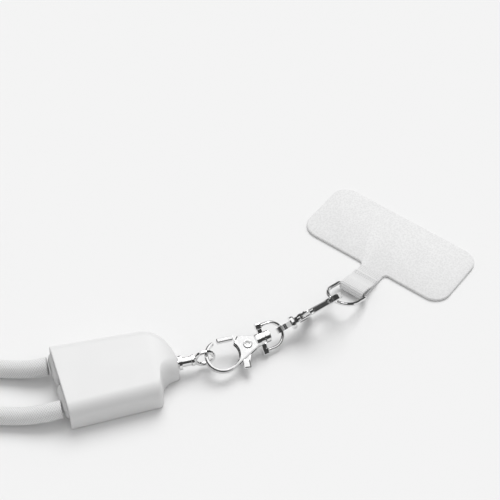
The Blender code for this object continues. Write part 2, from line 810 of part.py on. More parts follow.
def patch_outline():
    half = PATCH_LENGTH / 2
    start, end = TONGUE_LENGTH, TONGUE_LENGTH + PATCH_WIDTH
    r = PATCH_CORNER
    left = PATCH_SIDE + half - r
    right = PATCH_SIDE - half + r
    corners = (
        ((start + r, left), math.pi / 2, math.pi),
        ((start + r, right), math.pi, math.pi * 1.5),
        ((end - r, right), math.pi * 1.5, math.tau),
        ((end - r, left), 0.0, math.pi / 2),
    )
    return [point for centre, a, b in corners for point in arc(centre, r, a, b, 6)]


def build_tab(finish):
    """The cloth tab: a thin patch and the tongue that is folded round the ring's bar and sewn to itself."""
    patch = prism("patch", patch_outline(), 0.0, SHEET_THICKNESS)
    side, eye = tongue_outline()
    half = TONGUE_WIDTH / 2
    tongue = prism("tongue", side, -half, half, axis="Y")
    cut(tongue, prism("tunnel", eye, -half - MM, half + MM, axis="Y"))
    r = TONGUE_FILLET
    for sign in (1, -1):
        curve = arc((TONGUE_LENGTH - r, sign * (half + r)), r, -sign * math.pi / 2, 0.0, 4)
        root = [*curve, (TONGUE_LENGTH + MM, sign * (half + r)), (TONGUE_LENGTH + MM, sign * (half - MM))]
        root.append((TONGUE_LENGTH - r, sign * (half - MM)))
        joined(patch, prism("root", root, 0.0, SHEET_THICKNESS))
    joined(patch, tongue)
    return finished(patch, "tether_tab", finish, tab_placement())


def smooth_route(points, count):
    """Evenly spaced points on a smooth curve through the given ones."""
    knots = [Vector(p) for p in points]
    knots = [2 * knots[0] - knots[1], *knots, 2 * knots[-1] - knots[-2]]
    fine = []
    for a, b, c, d in zip(knots, knots[1:], knots[2:], knots[3:]):
        steps = [0.0]
        for p, q in ((a, b), (b, c), (c, d)):
            steps.append(steps[-1] + (q - p).length ** 0.5)
        t0, t1, t2, t3 = steps
        for k in range(16):
            t = t1 + (t2 - t1) * k / 16
            ab = a.lerp(b, (t - t0) / (t1 - t0))
            bc = b.lerp(c, (t - t1) / (t2 - t1))
            cd = c.lerp(d, (t - t2) / (t3 - t2))
            abc = ab.lerp(bc, (t - t0) / (t2 - t0))
            bcd = bc.lerp(cd, (t - t1) / (t3 - t1))
            fine.append(abc.lerp(bcd, (t - t1) / (t2 - t1)))
    fine.append(knots[-2])
    lengths = [0.0]
    for p, q in zip(fine, fine[1:]):
        lengths.append(lengths[-1] + (q - p).length)
    even = []
    k = 0
    for i in range(count):
        wanted = lengths[-1] * i / (count - 1)
        while k + 2 < len(lengths) and lengths[k + 1] < wanted:
            k += 1
        even.append(fine[k].lerp(fine[k + 1], (wanted - lengths[k]) / (lengths[k + 1] - lengths[k])))
    return even


def build_cord(finish):
    """The cable's loop, as a plain round tube."""
    curve = bpy.data.curves.new("cord", "CURVE")
    curve.dimensions = "3D"
    curve.bevel_depth = CORD_DIAMETER / 2
    curve.bevel_resolution = 3
    curve.use_fill_caps = True
    spline = curve.splines.new("POLY")
    route = smooth_route([[MM * value for value in point] for point in CORD_ROUTE], CORD_STEPS)
    spline.points.add(len(route) - 1)
    for point, place in zip(spline.points, route):
        point.co = (*place, 1.0)
    curve.materials.append(finish)
    cord = bpy.data.objects.new("cord", curve)
    bpy.context.scene.collection.objects.link(cord)
    return cord


def main():
    clear_scene()
    plastic = material("white_plastic", (0.86, 0.86, 0.86), 0.5, 0.0)
    chrome = material("chrome", (0.78, 0.78, 0.79), 0.12, 1.0)
    weave = material("white_weave", (0.84, 0.84, 0.84), 0.85, 0.0)
    build_housing(plastic)
    build_cable_heads(plastic)
    build_cord(weave)
    build_stud(chrome)
    build_clasp_body("first_clasp", chrome, first_clasp(), [swivel_post()])
    build_lever("first_lever", chrome, first_clasp())
    build_swivel_loop(chrome)
    build_clasp_body("second_clasp", chrome, second_clasp(), [link_eye()])
    build_lever("second_lever", chrome, second_clasp())
    build_ring(chrome)
    build_tab(weave)


main()
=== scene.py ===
"""Dresses the charging cable lanyard: its braided cable, moulded housing, polished hardware and cloth tab.

Lengths are in metres unless a name says otherwise. Every place is in the part's own frame: the origin is the
middle of the housing's underside, X runs to the right, Y away from the near side and Z up.
"""

import math

import bmesh
import bpy
import numpy as np
from mathutils import Matrix, Vector

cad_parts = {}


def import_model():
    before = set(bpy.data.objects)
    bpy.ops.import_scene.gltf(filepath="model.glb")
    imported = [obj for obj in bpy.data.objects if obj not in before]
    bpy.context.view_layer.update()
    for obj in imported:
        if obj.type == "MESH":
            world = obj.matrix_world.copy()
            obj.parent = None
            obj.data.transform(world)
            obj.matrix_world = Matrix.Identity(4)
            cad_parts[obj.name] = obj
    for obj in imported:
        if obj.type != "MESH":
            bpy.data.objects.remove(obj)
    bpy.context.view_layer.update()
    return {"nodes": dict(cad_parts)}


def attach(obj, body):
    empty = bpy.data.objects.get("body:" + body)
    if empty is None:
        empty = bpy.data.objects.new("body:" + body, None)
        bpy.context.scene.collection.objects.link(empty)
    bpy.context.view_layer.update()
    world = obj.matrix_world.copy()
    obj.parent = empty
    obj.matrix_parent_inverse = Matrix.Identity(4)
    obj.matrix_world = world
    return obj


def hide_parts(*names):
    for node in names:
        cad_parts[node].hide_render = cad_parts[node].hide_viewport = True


MM = 0.001

# Camera.
CAMERA_PLACE = Vector((0.0432, -0.3121, 0.433))
CAMERA_TARGET = Vector((0.0432, 0.0579, 0.0))
CAMERA_LENS = 115.2

# Light.
FLOOR_WHITE = 0.80
ROOM_LIGHT = 0.60
SUN_STRENGTH = 2.05
SUN_DIRECTION = Vector((0.12, 0.58, 0.82))
SUN_SPREAD = math.radians(42)
SOFTBOX_DIRECTION = Vector((-0.10, 0.20, 0.97))

# Housing.
HOUSING_YAW = math.radians(14.1)
HOUSING_LENGTH = 39.6 * MM
HOUSING_WIDTH = 30.1 * MM
HOUSING_THICKNESS = 10.0 * MM
HOUSING_WALL = 1.8 * MM
FAR_CORNER_LENGTH = 10.5 * MM
FAR_CORNER_WIDTH = 14.0 * MM
TOP_EDGE_RADIUS = 4.6 * MM
FOOT_EDGE_RADIUS = 0.8 * MM
NOSE_DROP = 4.0 * MM
NOSE_DROP_LENGTH = 9.5 * MM
TIP_FLAT = 0.15 * MM
MOUTH_SKEW = math.radians(4.0)
MOUTH_DEPTH = 18.0 * MM
LIP_ROUND = 0.3 * MM

# The near side in plan, from the tip past the notch to the mouth.
NEAR_SIDE_COLUMNS = ("share_of_length", "share_of_half_width")
NEAR_SIDE = (
    (0.004, 0.225),
    (0.016, 0.275),
    (0.045, 0.298),
    (0.086, 0.325),
    (0.115, 0.362),
    (0.138, 0.410),
    (0.155, 0.465),
    (0.167, 0.535),
    (0.176, 0.630),
    (0.184, 0.740),
    (0.192, 0.830),
    (0.204, 0.880),
    (0.222, 0.905),
    (0.300, 0.915),
    (0.500, 0.940),
    (0.750, 0.970),
    (1.000, 1.000),
)

# Clasps: the middle of each rivet in millimetres, and the way that its pin points.
RIVETS = {
    "first_rivet": (Vector((42.255, 11.688, 5.016)), Vector((0.1356, -0.2206, 0.9659))),
    "second_rivet": (Vector((60.918, 22.475, 6.638)), Vector((-0.4958, 0.6930, 0.5234))),
}
RIVET_HEAD_RADIUS = 1.5 * MM
RIVET_HEAD_TOP = 1.47 * MM

# The rivet head from its foot, over the rim and down into the dimple.
RIVET_PROFILE_COLUMNS = ("share_of_head_radius", "share_of_head_top")
RIVET_PROFILE = (
    (1.00, 0.76),
    (1.04, 0.88),
    (1.00, 0.96),
    (0.91, 0.99),
    (0.79, 1.00),
    (0.71, 0.97),
    (0.65, 0.96),
    (0.53, 0.966),
    (0.47, 0.95),
    (0.41, 0.88),
    (0.37, 0.71),
    (0.20, 0.64),
    (0.03, 0.626),
)

# Cloth tab.
TAB_PLACE = Vector((78.98, 38.31, 0.0)) * MM
TAB_HEADING = math.radians(53.0)
PATCH_LENGTH = 59.5 * MM
PATCH_WIDTH = 26.5 * MM
PATCH_CORNER = 6.0 * MM
PATCH_SIDE = 2.2 * MM
CLOTH_THICKNESS = 1.0 * MM
TONGUE_WIDTH = 9.2 * MM
TONGUE_LENGTH = 13.0 * MM
TONGUE_FILLET = 1.5 * MM
FOLD_HEIGHT = 1.95 * MM
FOLD_RADIUS = 1.45 * MM

# Cable.
CORD_DIAMETER = 6.0 * MM
CORD_SIDES = 40
CORD_RING_SPACING = 0.5 * MM
BRAID_STRANDS = 16
BRAID_CELL = 0.8 * MM
BRAID_RELIEF = 0.01 * MM

# The cable's route in millimetres: from the far head, along the surface, round a wide turn
# beside itself, back to the end of the loop, and the same way home to the near head.
CORD_ROUTE = (
    (-23.9, 3.0, 5.0),
    (-26.6, 2.6, 4.7),
    (-29.4, 2.45, 4.1),
    (-33.5, 2.8, 3.4),
    (-40.0, 3.3, 3.0),
    (-45.0, 3.6, 3.0),
    (-62.0, 4.0, 3.0),
    (-90.0, 3.7, 3.0),
    (-148.0, 2.9, 3.0),
    (-166.0, 4.3, 3.0),
    (-181.0, 13.5, 3.0),
    (-187.0, 29.5, 3.0),
    (-181.0, 45.5, 3.0),
    (-165.0, 55.1, 3.0),
    (-145.0, 56.5, 3.0),
    (-120.0, 55.1, 3.0),
    (-97.0, 50.9, 3.0),
    (-80.0, 48.7, 3.0),
    (-66.0, 50.9, 3.0),
    (-57.6, 58.5, 3.0),
    (-56.0, 67.5, 3.0),
    (-60.4, 76.9, 3.0),
    (-71.0, 82.5, 3.0),
    (-88.0, 82.1, 3.0),
    (-112.0, 77.5, 3.0),
    (-138.0, 74.9, 3.0),
    (-160.0, 74.1, 3.0),
    (-181.0, 68.5, 3.0),
    (-198.5, 52.0, 3.0),
    (-205.0, 29.5, 3.0),
    (-198.5, 7.0, 3.0),
    (-181.0, -9.5, 3.0),
    (-160.0, -14.9, 3.0),
    (-130.0, -15.1, 3.0),
    (-55.0, -15.2, 3.0),
    (-36.0, -15.6, 3.0),
    (-29.6, -15.8, 3.4),
    (-24.6, -15.6, 4.3),
    (-21.2, -15.1, 4.8),
    (-17.8, -14.3, 5.02),
)


class Value:
    """A number or vector that a material's nodes give. Arithmetic on it adds the nodes that do the sum."""

    def __init__(self, nodes, socket):
        self.nodes = nodes
        self.socket = socket

    def math(self, operation, *others):
        sockets = dict(enumerate((self, *others)))
        return self.nodes.add("ShaderNodeMath", {"operation": operation}, sockets)

    def __add__(self, other):
        return self.math("ADD", other)

    __radd__ = __add__

    def __sub__(self, other):
        return self.math("SUBTRACT", other)

    def __rsub__(self, other):
        return self.nodes.add("ShaderNodeMath", {"operation": "SUBTRACT"}, {0: other, 1: self})

    def __mul__(self, other):
        return self.math("MULTIPLY", other)

    __rmul__ = __mul__

    def __truediv__(self, other):
        return self.math("DIVIDE", other)

    def __abs__(self):
        return self.math("ABSOLUTE")


class Nodes:
    """Adds nodes to one tree."""

    def __init__(self, tree):
        self.tree = tree
        tree.nodes.clear()

    def add(self, kind, settings=None, sockets=None, output=0):
        made = self.tree.nodes.new(kind)
        for name, value in (settings or {}).items():
            setattr(made, name, value)
        for key, value in (sockets or {}).items():
            if isinstance(value, Value):
                self.tree.links.new(value.socket, made.inputs[key])
            else:
                made.inputs[key].default_value = value
        return Value(self, made.outputs[output]) if len(made.outputs) else made

    def smooth_step(self, value, low, high, start=0.0, end=1.0):
        """The value, taken from low to high over to start to end with eased ends."""
        return self.add(
            "ShaderNodeMapRange",
            {"interpolation_type": "SMOOTHSTEP"},
            {"Value": value, "From Min": low, "From Max": high, "To Min": start, "To Max": end},
            "Result",
        )

    def blend(self, share, first, second):
        """A colour between two others."""
        return self.add(
            "ShaderNodeMix",
            {"data_type": "RGBA"},
            {0: share, 6: first, 7: second},
            2,
        )

    def parts(self, vector):
        made = self.add("ShaderNodeSeparateXYZ", None, {0: vector}, 0)
        node = made.socket.node
        return [Value(self, node.outputs[k]) for k in range(3)]

    def noise(self, place, scale, detail=3.0, roughness=0.5):
        sockets = {"Vector": place, "Scale": scale, "Detail": detail, "Roughness": roughness}
        return self.add("ShaderNodeTexNoise", None, sockets, 0)

    def bump(self, height, strength, distance, under=None):
        sockets = {"Height": height, "Strength": strength, "Distance": distance}
        if under is not None:
            sockets["Normal"] = under
        return self.add("ShaderNodeBump", None, sockets)

    def place(self):
        """The point on the surface, in the part's own frame."""
        return self.add("ShaderNodeTexCoord", None, None, "Object")


def grey(value, warmth=0.0):
    return (value * (1 + warmth), value, value * (1 - warmth), 1.0)


def finish(name, sockets_from):
    """A material whose one shader takes the sockets that a maker gives it."""
    made = bpy.data.materials.new(name)
    made.use_nodes = True
    nodes = Nodes(made.node_tree)
    shader = nodes.add("ShaderNodeBsdfPrincipled", None, sockets_from(nodes))
    nodes.add("ShaderNodeOutputMaterial", None, {"Surface": shader})
    return made


def moulded_plastic(nodes):
    """Satin white plastic with the fine grain of an etched mould."""
    place = nodes.place()
    grain = nodes.noise(place, 2600.0, 2.0)
    clouds = nodes.noise(place, 90.0, 3.0)
    return {
        "Base Color": nodes.blend(clouds, grey(0.66), grey(0.70)),
        "Roughness": nodes.smooth_step(clouds, 0.3, 0.7, 0.42, 0.5),
        "Normal": nodes.bump(grain, 0.12, 0.02 * MM),
        "IOR": 1.46,
    }


def cable_head_plastic(nodes):
    """The heads' plastic: smoother and a touch greyer than the housing's."""
    place = nodes.place()
    grain = nodes.noise(place, 1800.0, 2.0)
    clouds = nodes.noise(place, 140.0, 3.0)
    return {
        "Base Color": nodes.blend(clouds, grey(0.57), grey(0.62)),
        "Roughness": nodes.smooth_step(clouds, 0.3, 0.7, 0.34, 0.46),
        "Normal": nodes.bump(grain, 0.1, 0.02 * MM),
    }


def polished_plating(nodes):
    """Bright plating over cast metal, with a faint ripple and hairline scuffs."""
    place = nodes.place()
    ripple = nodes.noise(place, 420.0, 2.0)
    scuffs = nodes.noise(place, 5200.0, 4.0, 0.7)
    cloud = nodes.noise(place, 700.0, 2.0)
    wear = nodes.smooth_step(scuffs * cloud, 0.24, 0.5)
    return {
        "Base Color": nodes.blend(cloud, grey(0.72), grey(0.80)),
        "Metallic": 1.0,
        "Roughness": nodes.smooth_step(wear, 0.0, 1.0, 0.07, 0.24),
        "Normal": nodes.bump(ripple, 0.25, 0.03 * MM),
    }


def rivet_plating_with_painted_shade(nodes):
    """The rivets' plating: coloured darker than the other plating, as painted shade for the dark rims and
    dimples of the heads.
    """
    place = nodes.place()
    smudge = nodes.noise(place, 1500.0, 3.0)
    return {
        # Painted shade: the whole head is coloured darker than the other plating; the smudge noise varies it
        # at random.
        "Base Color": nodes.blend(smudge, grey(0.40), grey(0.52)),
        "Metallic": 1.0,
        "Roughness": nodes.smooth_step(smudge, 0.3, 0.7, 0.14, 0.28),
        "Normal": nodes.bump(smudge, 0.2, 0.02 * MM),
    }


def braided_yarn(nodes):
    """White polyester yarn: fine fibres along each strand of the braid, with painted shade darkening the
    grooves between the strands.
    """
    route = nodes.add("ShaderNodeUVMap", {"uv_map": "braid"}, None, 0)
    around, along, _ = nodes.parts(route)
    first = around + along
    second = around - along
    place = nodes.place()
    fuzz = nodes.noise(place, 5200.0, 3.0, 0.6)
    one = abs((first.math("FRACT") - 0.5) * 2.0)
    other = abs((second.math("FRACT") - 0.5) * 2.0)
    parity = (first.math("FLOOR") + second.math("FLOOR")).math("MODULO", 2.0)
    over = nodes.smooth_step(abs(parity), 0.45, 0.55)
    groove = one * over + other * (1.0 - over)
    valley = nodes.smooth_step(groove, 0.55, 1.0)
    fibres = (first * 5.0).math("FRACT") * over + (second * 5.0).math("FRACT") * (1.0 - over)
    height = (1.0 - valley) * 0.7 + abs(fibres - 0.5) * 0.25 + fuzz * 0.35
    return {
        # Painted shade: the grooves between the strands are coloured darker.
        "Base Color": nodes.blend(valley, grey(0.86), grey(0.54)),
        "Roughness": nodes.smooth_step(fuzz, 0.3, 0.7, 0.78, 0.92),
        "Normal": nodes.bump(height, 1.0, 0.22 * MM),
        "Sheen Weight": 0.15,
        "Sheen Roughness": 0.5,
    }


def tab_cloth(nodes):
    """Coated white cloth with a fine pebbled face: painted shade in the hollows of the pebbles, and the
    cloth's own cloudy tone.
    """
    place = nodes.place()
    sockets = {"Vector": place, "Scale": 1500.0, "Smoothness": 0.6}
    pebbles = nodes.add("ShaderNodeTexVoronoi", {"feature": "SMOOTH_F1"}, sockets, 0)
    fibres = nodes.noise(place, 3400.0, 4.0, 0.65)
    clouds = nodes.noise(place, 120.0, 3.0)
    height = pebbles * 0.8 + fibres * 0.6
    # Painted shade: the low parts of the pebbled relief are coloured darker, mixed with the cloth's own
    # cloudy tone.
    painted_relief_shade = nodes.smooth_step(height, 0.35, 0.95)
    return {
        "Base Color": nodes.blend(painted_relief_shade * 0.6 + clouds * 0.4, grey(0.64), grey(0.78)),
        "Roughness": nodes.smooth_step(fibres, 0.3, 0.7, 0.72, 0.9),
        "Normal": nodes.bump(height, 0.6, 0.1 * MM),
        "Sheen Weight": 0.1,
    }


def tongue_webbing(nodes):
    """Woven white tape: ribs across it and threads along it, with painted shade in the low parts of the
    weave.
    """
    weave = nodes.add("ShaderNodeUVMap", {"uv_map": "weave"}, None, 0)
    across, along, _ = nodes.parts(weave)
    rib = abs((along * (1.0 / (0.62 * MM))).math("FRACT") - 0.5) * 2.0
    twill = across * (1.0 / (0.5 * MM)) + along * (1.0 / (1.1 * MM))
    thread = abs(twill.math("FRACT") - 0.5) * 2.0
    fuzz = nodes.noise(nodes.place(), 4200.0, 3.0, 0.6)
    height = rib * 0.45 + thread * 0.6 + fuzz * 0.3
    # Painted shade: the low parts of the weave's relief are coloured darker.
    painted_relief_shade = nodes.smooth_step(height, 0.25, 1.1)
    return {
        "Base Color": nodes.blend(painted_relief_shade, grey(0.60), grey(0.86)),
        "Roughness": nodes.smooth_step(fuzz, 0.3, 0.7, 0.76, 0.9),
        "Normal": nodes.bump(height, 0.9, 0.2 * MM),
        "Sheen Weight": 0.12,
    }


def studio_floor(nodes):
    place = nodes.place()
    clouds = nodes.noise(place, 6.0, 2.0)
    return {
        "Base Color": nodes.blend(clouds, grey(FLOOR_WHITE), grey(FLOOR_WHITE)),
        "Roughness": 0.9,
        "Specular IOR Level": 0.0,
    }


def set_camera():
    data = bpy.data.cameras.new("camera")
    data.lens = CAMERA_LENS
    data.sensor_width = 36.0
    data.clip_start = 0.01
    camera = bpy.data.objects.new("camera", data)
    camera.location = CAMERA_PLACE
    camera.rotation_euler = (CAMERA_TARGET - CAMERA_PLACE).to_track_quat("-Z", "Y").to_euler()
    bpy.context.scene.collection.objects.link(camera)
    bpy.context.scene.camera = camera


def set_light():
    """Even room light on everything, a soft sun from the far left, and a darker room in what shines."""
    scene = bpy.context.scene
    scene.view_settings.view_transform = "Standard"
    world = bpy.data.worlds.new("studio")
    world.use_nodes = True
    scene.world = world
    nodes = Nodes(world.node_tree)
    direction = nodes.add("ShaderNodeTexCoord", None, None, "Generated")
    box = nodes.add(
        "ShaderNodeVectorMath",
        {"operation": "DOT_PRODUCT"},
        {0: direction, 1: SOFTBOX_DIRECTION.normalized()},
        "Value",
    )
    _, _, height = nodes.parts(direction)
    softbox = nodes.smooth_step(box, 0.64, 0.78, 0.06, 1.2)
    skirting = nodes.smooth_step(height, 0.02, 0.16, 0.4, 0.0)
    shine = softbox.math("MAXIMUM", skirting)
    glossy = nodes.add("ShaderNodeLightPath", None, None, "Is Glossy Ray")
    strength = glossy * shine + (1.0 - glossy) * ROOM_LIGHT
    background = nodes.add("ShaderNodeBackground", None, {"Color": grey(1.0), "Strength": strength})
    nodes.add("ShaderNodeOutputWorld", None, {"Surface": background})
    sun = bpy.data.lights.new("sun", "SUN")
    sun.energy = SUN_STRENGTH
    sun.angle = SUN_SPREAD
    lamp = bpy.data.objects.new("sun", sun)
    lamp.rotation_euler = SUN_DIRECTION.to_track_quat("Z", "Y").to_euler()
    scene.collection.objects.link(lamp)


def lay_floor():
    data = bmesh.new()
    bmesh.ops.create_grid(data, x_segments=2, y_segments=2, size=6.0)
    floor = mesh_object("floor", data)
    floor.location.z = -0.05 * MM
    floor.data.materials.append(finish("studio_floor", studio_floor))


def mesh_object(name, data):
    mesh = bpy.data.meshes.new(name)
    data.to_mesh(mesh)
    data.free()
    obj = bpy.data.objects.new(name, mesh)
    bpy.context.scene.collection.objects.link(obj)
    return obj


def smooth_route(points, spacing):
    """Points a spacing apart on a smooth curve through the given ones."""
    knots = [Vector(p) for p in points]
    knots = [2 * knots[0] - knots[1], *knots, 2 * knots[-1] - knots[-2]]
    fine = []
    for a, b, c, d in zip(knots, knots[1:], knots[2:], knots[3:]):
        steps = [0.0]
        for p, q in ((a, b), (b, c), (c, d)):
            steps.append(steps[-1] + (q - p).length ** 0.5)
        t0, t1, t2, t3 = steps
        for k in range(24):
            t = t1 + (t2 - t1) * k / 24
            ab = a.lerp(b, (t - t0) / (t1 - t0))
            bc = b.lerp(c, (t - t1) / (t2 - t1))
            cd = c.lerp(d, (t - t2) / (t3 - t2))
            abc = ab.lerp(bc, (t - t0) / (t2 - t0))
            bcd = bc.lerp(cd, (t - t1) / (t3 - t1))
            fine.append(abc.lerp(bcd, (t - t1) / (t2 - t1)))
    fine.append(knots[-2])
    lengths = [0.0]
    for p, q in zip(fine, fine[1:]):
        lengths.append(lengths[-1] + (q - p).length)
    count = round(lengths[-1] / spacing) + 1
    even = []
    k = 0
    for i in range(count):
        wanted = lengths[-1] * i / (count - 1)
        while k + 2 < len(lengths) and lengths[k + 1] < wanted:
            k += 1
        even.append(fine[k].lerp(fine[k + 1], (wanted - lengths[k]) / (lengths[k + 1] - lengths[k])))
    return even, lengths[-1]


def braid_height(around, along):
    """How far the braid stands out, from 0 in a groove to 1 on a strand's back."""
    first, second = around + along, around - along
    over = (np.floor(first) + np.floor(second)) % 2 > 0.5
    share = np.where(over, first % 1.0, second % 1.0)
    crown = np.sin(np.pi * share)
    ahead = np.where(over, second % 1.0, first % 1.0)
    return crown * (0.55 + 0.45 * np.sin(np.pi * ahead))


def build_cord():
    """The cable as one braided tube along its whole route."""
    route, length = smooth_route([[MM * v for v in p] for p in CORD_ROUTE], CORD_RING_SPACING)
    points = np.array(route)
    points[:, 2] = np.maximum(points[:, 2], CORD_DIAMETER / 2)
    ahead = np.gradient(points, axis=0)
    ahead /= np.linalg.norm(ahead, axis=1)[:, None]
    side = np.cross(ahead, (0.0, 0.0, 1.0))
    side /= np.linalg.norm(side, axis=1)[:, None]
    up = np.cross(side, ahead)
    turn = np.arange(CORD_SIDES) / CORD_SIDES
    travelled = np.linspace(0.0, length, len(points))
    height = braid_height(turn[None, :] * BRAID_STRANDS, travelled[:, None] / BRAID_CELL)
    radius = CORD_DIAMETER / 2 - BRAID_RELIEF * (1.0 - height)
    angle = math.tau * turn
    out = side[:, None] * np.cos(angle)[None, :, None] + up[:, None] * np.sin(angle)[None, :, None]
    places = (points[:, None] + out * radius[..., None]).reshape(-1, 3)
    rings = len(points)
    start = np.arange(rings - 1)[:, None] * CORD_SIDES
    here = np.arange(CORD_SIDES)[None, :]
    beside = (here + 1) % CORD_SIDES
    quads = np.stack(
        (start + here, start + beside, start + CORD_SIDES + beside, start + CORD_SIDES + here), axis=-1
    ).reshape(-1, 4)
    mesh = bpy.data.meshes.new("braided_cable")
    caps = [tuple(range(CORD_SIDES))[::-1], tuple(range((rings - 1) * CORD_SIDES, rings * CORD_SIDES))]
    mesh.from_pydata(places.tolist(), [], quads.tolist() + caps)
    u = np.stack((here, here + 1, here + 1, here), axis=-1) / CORD_SIDES * BRAID_STRANDS
    v = np.stack((travelled[:-1], travelled[:-1], travelled[1:], travelled[1:]), axis=-1) / BRAID_CELL
    corners = np.zeros((len(mesh.loops), 2))
    body = corners[: 4 * len(quads)].reshape(rings - 1, CORD_SIDES, 4, 2)
    body[..., 0] = u
    body[..., 1] = v[:, None, :]
    mesh.uv_layers.new(name="braid").data.foreach_set("uv", corners.ravel())
    mesh.shade_smooth()
    cable = bpy.data.objects.new("braided_cable", mesh)
    bpy.context.scene.collection.objects.link(cable)
    mesh.materials.append(finish("braided_yarn", braided_yarn))
    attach(cable, "lanyard")
    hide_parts("cord")


def arc(centre, radius, start, end, steps):
    angles = (start + (end - start) * i / steps for i in range(steps + 1))
    return [(centre[0] + radius * math.cos(a), centre[1] + radius * math.sin(a)) for a in angles]


def skinned(name, rings, closed=False):
    """A closed skin over rings of points that all have the same count."""
    data = bmesh.new()
    loops = [[data.verts.new(p) for p in ring] for ring in rings]
    for lower, upper in zip(loops, loops[1:] + loops[:1] if closed else loops[1:]):
        for k in range(len(lower)):
            data.faces.new((lower[k - 1], lower[k], upper[k], upper[k - 1]))
    if not closed:
        data.faces.new(loops[0])
        data.faces.new(loops[-1])
    bmesh.ops.recalc_face_normals(data, faces=data.faces)
    skin = mesh_object(name, data)
    skin.data.shade_smooth()
    return skin


def shell_section(near, far, inset=0.0, low=0.0, high=HOUSING_THICKNESS, steps=14):
    """The shell's cross-section, from the far side over the top to the near side and the foot."""
    near, far, low, high = near - inset, far - inset, low + inset, high - inset
    top = min(TOP_EDGE_RADIUS - inset, 0.46 * (near + far), 0.8 * (high - low))
    foot = max(FOOT_EDGE_RADIUS - inset, 0.2 * MM)
    points = arc((far - top, high - top), top, 0, math.pi / 2, steps)
    points += arc((top - near, high - top), top, math.pi / 2, math.pi, steps)
    points += arc((foot - near, low + foot), foot, math.pi, math.pi * 1.5, 4)
    points += arc((far - foot, low + foot), foot, math.pi * 1.5, math.tau, 4)
    return points


def far_reach(back):
    if back < FAR_CORNER_LENGTH:
        return FAR_CORNER_WIDTH * math.sqrt(1 - (1 - back / FAR_CORNER_LENGTH) ** 2)
    share = (back - FAR_CORNER_LENGTH) / (HOUSING_LENGTH - FAR_CORNER_LENGTH)
    return FAR_CORNER_WIDTH + (HOUSING_WIDTH / 2 - FAR_CORNER_WIDTH) * share


def shell_ring(back, near, inset=0.0):
    """One ring of the shell's outside, at a distance back from the tip."""
    drop = max(0.0, 1 - back / NOSE_DROP_LENGTH)
    high = HOUSING_THICKNESS - NOSE_DROP * (1 - math.sqrt(1 - drop**2))
    share = max(0.0, back / HOUSING_LENGTH - 0.3) / 0.7
    ring = shell_section(near, far_reach(back), inset, high=high)
    return [(-back - y * math.tan(MOUTH_SKEW) * share, y, z) for y, z in ring]


def build_housing(plastic):
    """The shell with its soft nose, its near notch and the rounded lip of its mouth."""
    table = [(a * HOUSING_LENGTH, b * HOUSING_WIDTH / 2, 0.0) for a, b in NEAR_SIDE]
    side, _ = smooth_route(table, 0.2 * MM)
    backs = [p.x for p in side]
    reaches = [p.y for p in side]
    corner = [FAR_CORNER_LENGTH * (1 - math.cos(math.pi / 2 * k / 30)) for k in range(1, 31)]
    stations = sorted(set(corner + backs[::3]))
    stations = [b for b in stations if TIP_FLAT + 0.1 * MM < b < HOUSING_LENGTH - LIP_ROUND]
    kept = [stations[0]]
    for back in stations:
        if back - kept[-1] > 0.15 * MM:
            kept.append(back)

    def near(back):
        return float(np.interp(back, backs, reaches))

    tip = near(TIP_FLAT)
    rings = [shell_ring(TIP_FLAT, tip, 0.4 * MM), shell_ring(TIP_FLAT + 0.05 * MM, tip, 0.1 * MM)]
    rings += [shell_ring(back, near(back)) for back in kept]
    lip = [(math.sin(a), 1 - math.cos(a)) for a in (math.pi / 2 * k / 4 for k in range(5))]
    end = HOUSING_LENGTH - LIP_ROUND
    rings += [shell_ring(end + LIP_ROUND * out, near(HOUSING_LENGTH), LIP_ROUND * rise) for out, rise in lip]
    half = HOUSING_WIDTH / 2
    inner = [(end + LIP_ROUND * out, HOUSING_WALL - LIP_ROUND * rise) for out, rise in reversed(lip)]
    inner += [(HOUSING_LENGTH - depth * MM, HOUSING_WALL) for depth in (2, 5, 9, 13, 18)]
    for back, inset in inner:
        ring = shell_section(half, half, inset)
        rings.append([(-back - y * math.tan(MOUTH_SKEW), y, z) for y, z in ring])
    shell = skinned("moulded_housing", rings)
    shell.data.set_sharp_from_angle(angle=math.radians(50))
    shell.data.materials.append(plastic)
    turn = Matrix.Rotation(HOUSING_YAW, 4, "Z")
    shell.matrix_world = turn @ Matrix.Translation((HOUSING_LENGTH / 2, 0, 0))
    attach(shell, "lanyard")
    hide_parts("housing")


def patch_outline():
    """The patch seen from above, with the fillets that lead into the tongue."""
    left, right = PATCH_SIDE + PATCH_LENGTH / 2, PATCH_SIDE - PATCH_LENGTH / 2
    start, end, r = TONGUE_LENGTH, TONGUE_LENGTH + PATCH_WIDTH, PATCH_CORNER
    root, f = TONGUE_WIDTH / 2, TONGUE_FILLET
    outline = arc((start + r, left - r), r, math.pi, math.pi / 2, 12)
    outline += arc((end - r, left - r), r, math.pi / 2, 0.0, 12)
    outline += arc((end - r, right + r), r, 0.0, -math.pi / 2, 12)
    outline += arc((start + r, right + r), r, -math.pi / 2, -math.pi, 12)
    outline += arc((start - f, -root - f), f, 0.0, math.pi / 2, 6)
    outline += arc((start - f, root + f), f, -math.pi / 2, 0.0, 6)
    return outline


def tab_frame():
    return Matrix.Translation(TAB_PLACE) @ Matrix.Rotation(TAB_HEADING, 4, "Z")


def inset_outline(outline, inset):
    """The outline moved inwards by a small distance."""
    moved = []
    for i, point in enumerate(outline):
        before, after = Vector(outline[i - 1]), Vector(outline[(i + 1) % len(outline)])
        way = (after - before).normalized()
        moved.append((point[0] + way.y * inset, point[1] - way.x * inset))
    return moved


